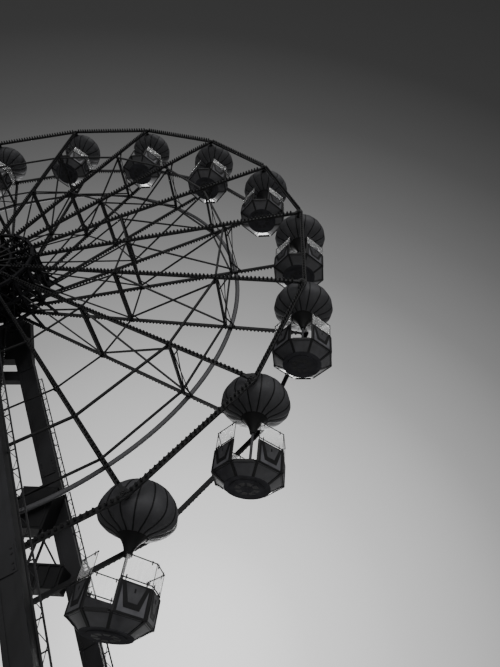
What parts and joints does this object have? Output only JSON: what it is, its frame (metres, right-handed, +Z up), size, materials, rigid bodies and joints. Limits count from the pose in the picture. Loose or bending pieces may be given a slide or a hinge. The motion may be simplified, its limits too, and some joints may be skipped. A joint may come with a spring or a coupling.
{
  "type": "ferris wheel",
  "caption": "Large Ferris wheel: two lattice rims on an axle, balloon-shaped gondolas that hang level between them, on A-frame supports.",
  "frame": {"origin": "on the ground under the hub, midway between the two supports", "axes": "+Z up; the wheel turns about Y; -Y is the side the picture is taken from; +X is to its right"},
  "size_m": [32.1802, 6.84, 35.0346],
  "materials": {
    "wheel_steel": "dark semi-gloss paint over steel lattice",
    "support_steel": "dark semi-gloss paint over steel plate",
    "drive_ring_steel": "rubbed smooth by the drive",
    "axle_steel": "turned",
    "canopy_shell": "dark glass-fibre shell with raised seams",
    "basket_panels": "dark and light bands of gloss paint",
    "housing_paint": "matt paint"
  },
  "bodies": {
    "support": {"front_left_leg": "support_steel", "front_right_leg": "support_steel", "front_head_plate": "support_steel", "front_cross_beam": "support_steel", "front_ladder": "support_steel", "back_left_leg": "support_steel", "back_right_leg": "support_steel", "back_head_plate": "support_steel", "back_cross_beam": "support_steel", "back_ladder": "support_steel", "left_ground_sill": "support_steel", "right_ground_sill": "support_steel", "drive_housing": "housing_paint", "drive_platform": "housing_paint"},
    "wheel": {"front_wheel_frame": "wheel_steel", "back_wheel_frame": "wheel_steel", "cross_bracing": "wheel_steel", "drive_ring": "drive_ring_steel", "main_axle": "axle_steel"},
    "gondola_01": {"canopy_01": "canopy_shell", "basket_01": "basket_panels"},
    "gondola_02": {"canopy_02": "canopy_shell", "basket_02": "basket_panels"},
    "gondola_03": {"canopy_03": "canopy_shell", "basket_03": "basket_panels"},
    "gondola_04": {"canopy_04": "canopy_shell", "basket_04": "basket_panels"},
    "gondola_05": {"canopy_05": "canopy_shell", "basket_05": "basket_panels"},
    "gondola_06": {"canopy_06": "canopy_shell", "basket_06": "basket_panels"},
    "gondola_07": {"canopy_07": "canopy_shell", "basket_07": "basket_panels"},
    "gondola_08": {"canopy_08": "canopy_shell", "basket_08": "basket_panels"},
    "gondola_09": {"canopy_09": "canopy_shell", "basket_09": "basket_panels"},
    "gondola_10": {"canopy_10": "canopy_shell", "basket_10": "basket_panels"},
    "gondola_11": {"canopy_11": "canopy_shell", "basket_11": "basket_panels"},
    "gondola_12": {"canopy_12": "canopy_shell", "basket_12": "basket_panels"},
    "gondola_13": {"canopy_13": "canopy_shell", "basket_13": "basket_panels"},
    "gondola_14": {"canopy_14": "canopy_shell", "basket_14": "basket_panels"},
    "gondola_15": {"canopy_15": "canopy_shell", "basket_15": "basket_panels"},
    "gondola_16": {"canopy_16": "canopy_shell", "basket_16": "basket_panels"},
    "gondola_17": {"canopy_17": "canopy_shell", "basket_17": "basket_panels"},
    "gondola_18": {"canopy_18": "canopy_shell", "basket_18": "basket_panels"}
  },
  "joints": [
    {"name": "wheel_spin", "type": "hinge", "parent": "support", "child": "wheel", "pos_m": [0, 0, 19], "axis": [0, 1, 0], "continuous": true},
    {"name": "gondola_swing_01", "type": "hinge", "parent": "wheel", "child": "gondola_01", "pos_m": [-0.68044, 0, 33.98456], "axis": [0, 1, 0], "continuous": true},
    {"name": "gondola_swing_02", "type": "hinge", "parent": "wheel", "child": "gondola_02", "pos_m": [4.48561, 0, 33.31361], "axis": [0, 1, 0], "continuous": true},
    {"name": "gondola_swing_03", "type": "hinge", "parent": "wheel", "child": "gondola_03", "pos_m": [9.11064, 0, 30.91622], "axis": [0, 1, 0], "continuous": true},
    {"name": "gondola_swing_04", "type": "hinge", "parent": "wheel", "child": "gondola_04", "pos_m": [12.63679, 0, 27.08156], "axis": [0, 1, 0], "continuous": true},
    {"name": "gondola_swing_05", "type": "hinge", "parent": "wheel", "child": "gondola_05", "pos_m": [14.63875, 0, 22.27215], "axis": [0, 1, 0], "continuous": true},
    {"name": "gondola_swing_06", "type": "hinge", "parent": "wheel", "child": "gondola_06", "pos_m": [14.87507, 0, 17.06807], "axis": [0, 1, 0], "continuous": true},
    {"name": "gondola_swing_07", "type": "hinge", "parent": "wheel", "child": "gondola_07", "pos_m": [13.31723, 0, 12.097], "axis": [0, 1, 0], "continuous": true},
    {"name": "gondola_swing_08", "type": "hinge", "parent": "wheel", "child": "gondola_08", "pos_m": [10.15314, 0, 7.95854], "axis": [0, 1, 0], "continuous": true},
    {"name": "gondola_swing_09", "type": "hinge", "parent": "wheel", "child": "gondola_09", "pos_m": [5.76443, 0, 5.15185], "axis": [0, 1, 0], "continuous": true},
    {"name": "gondola_swing_10", "type": "hinge", "parent": "wheel", "child": "gondola_10", "pos_m": [0.68044, 0, 4.01544], "axis": [0, 1, 0], "continuous": true},
    {"name": "gondola_swing_11", "type": "hinge", "parent": "wheel", "child": "gondola_11", "pos_m": [-4.48561, 0, 4.6864], "axis": [0, 1, 0], "continuous": true},
    {"name": "gondola_swing_12", "type": "hinge", "parent": "wheel", "child": "gondola_12", "pos_m": [-9.11064, 0, 7.08378], "axis": [0, 1, 0], "continuous": true},
    {"name": "gondola_swing_13", "type": "hinge", "parent": "wheel", "child": "gondola_13", "pos_m": [-12.63679, 0, 10.91844], "axis": [0, 1, 0], "continuous": true},
    {"name": "gondola_swing_14", "type": "hinge", "parent": "wheel", "child": "gondola_14", "pos_m": [-14.63875, 0, 15.72785], "axis": [0, 1, 0], "continuous": true},
    {"name": "gondola_swing_15", "type": "hinge", "parent": "wheel", "child": "gondola_15", "pos_m": [-14.87507, 0, 20.93193], "axis": [0, 1, 0], "continuous": true},
    {"name": "gondola_swing_16", "type": "hinge", "parent": "wheel", "child": "gondola_16", "pos_m": [-13.31723, 0, 25.903], "axis": [0, 1, 0], "continuous": true},
    {"name": "gondola_swing_17", "type": "hinge", "parent": "wheel", "child": "gondola_17", "pos_m": [-10.15314, 0, 30.04146], "axis": [0, 1, 0], "continuous": true},
    {"name": "gondola_swing_18", "type": "hinge", "parent": "wheel", "child": "gondola_18", "pos_m": [-5.76443, 0, 32.84815], "axis": [0, 1, 0], "continuous": true}
  ],
  "couplings": [
    {"joint": "gondola_swing_01", "follows": "wheel_spin", "ratio": -1},
    {"joint": "gondola_swing_02", "follows": "wheel_spin", "ratio": -1},
    {"joint": "gondola_swing_03", "follows": "wheel_spin", "ratio": -1},
    {"joint": "gondola_swing_04", "follows": "wheel_spin", "ratio": -1},
    {"joint": "gondola_swing_05", "follows": "wheel_spin", "ratio": -1},
    {"joint": "gondola_swing_06", "follows": "wheel_spin", "ratio": -1},
    {"joint": "gondola_swing_07", "follows": "wheel_spin", "ratio": -1},
    {"joint": "gondola_swing_08", "follows": "wheel_spin", "ratio": -1},
    {"joint": "gondola_swing_09", "follows": "wheel_spin", "ratio": -1},
    {"joint": "gondola_swing_10", "follows": "wheel_spin", "ratio": -1},
    {"joint": "gondola_swing_11", "follows": "wheel_spin", "ratio": -1},
    {"joint": "gondola_swing_12", "follows": "wheel_spin", "ratio": -1},
    {"joint": "gondola_swing_13", "follows": "wheel_spin", "ratio": -1},
    {"joint": "gondola_swing_14", "follows": "wheel_spin", "ratio": -1},
    {"joint": "gondola_swing_15", "follows": "wheel_spin", "ratio": -1},
    {"joint": "gondola_swing_16", "follows": "wheel_spin", "ratio": -1},
    {"joint": "gondola_swing_17", "follows": "wheel_spin", "ratio": -1},
    {"joint": "gondola_swing_18", "follows": "wheel_spin", "ratio": -1}
  ]
}
